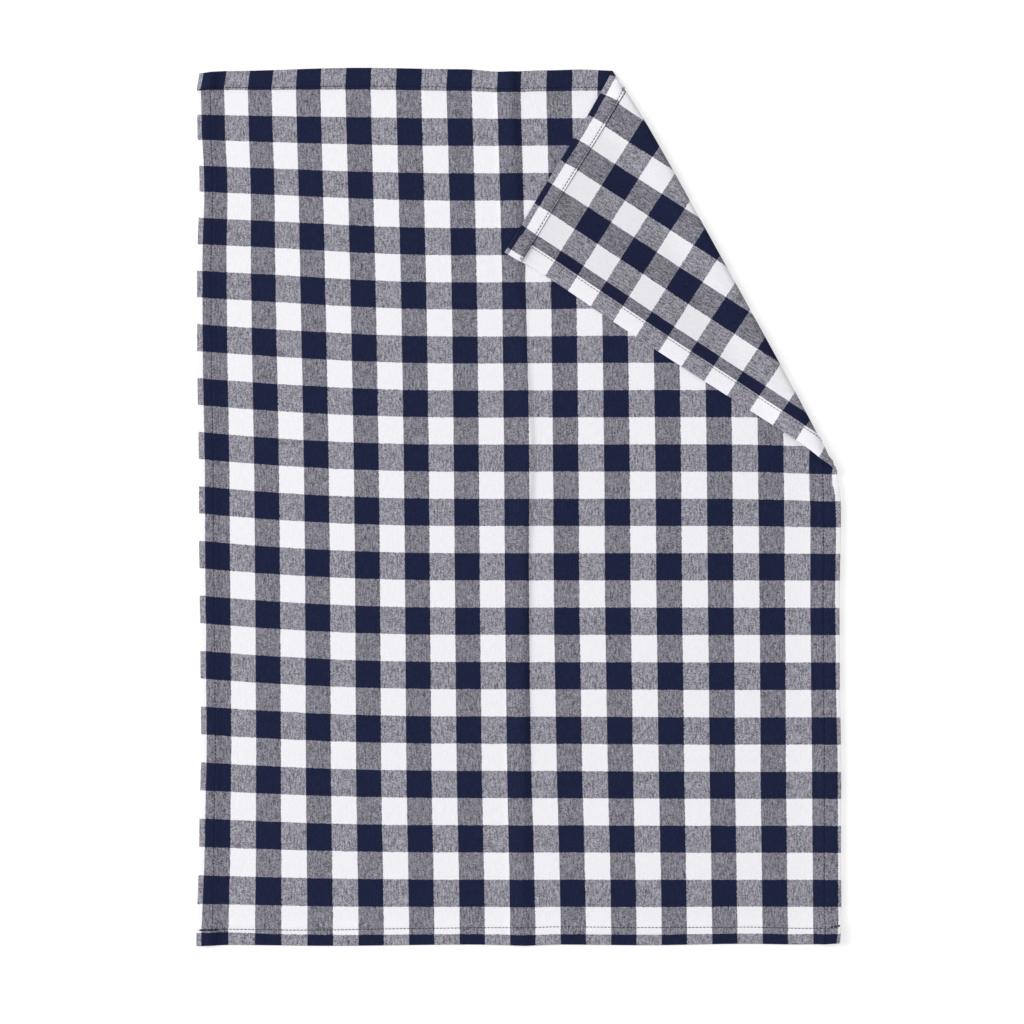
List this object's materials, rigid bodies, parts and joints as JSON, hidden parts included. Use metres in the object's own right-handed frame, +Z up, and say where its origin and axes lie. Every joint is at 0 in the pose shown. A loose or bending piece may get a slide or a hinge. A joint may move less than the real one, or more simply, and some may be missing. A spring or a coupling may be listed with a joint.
{
  "type": "tea towel",
  "caption": "Rectangular woven gingham tea towel with turned hems, lying flat with one corner folded over to show its reverse.",
  "frame": {"origin": "on the surface the towel lies on, under the middle of its box", "axes": "+Z up from the surface, +Y along the length towards the top edge, +X across the width towards the side with the folded corner"},
  "size_m": [0.5116, 0.6954, 0.0075],
  "materials": {
    "gingham_cotton": "plain-woven cotton in a navy and white gingham check, matt, with narrow stitched hems"
  },
  "bodies": {
    "root": {"towel": "gingham_cotton"}
  },
  "joints": []
}
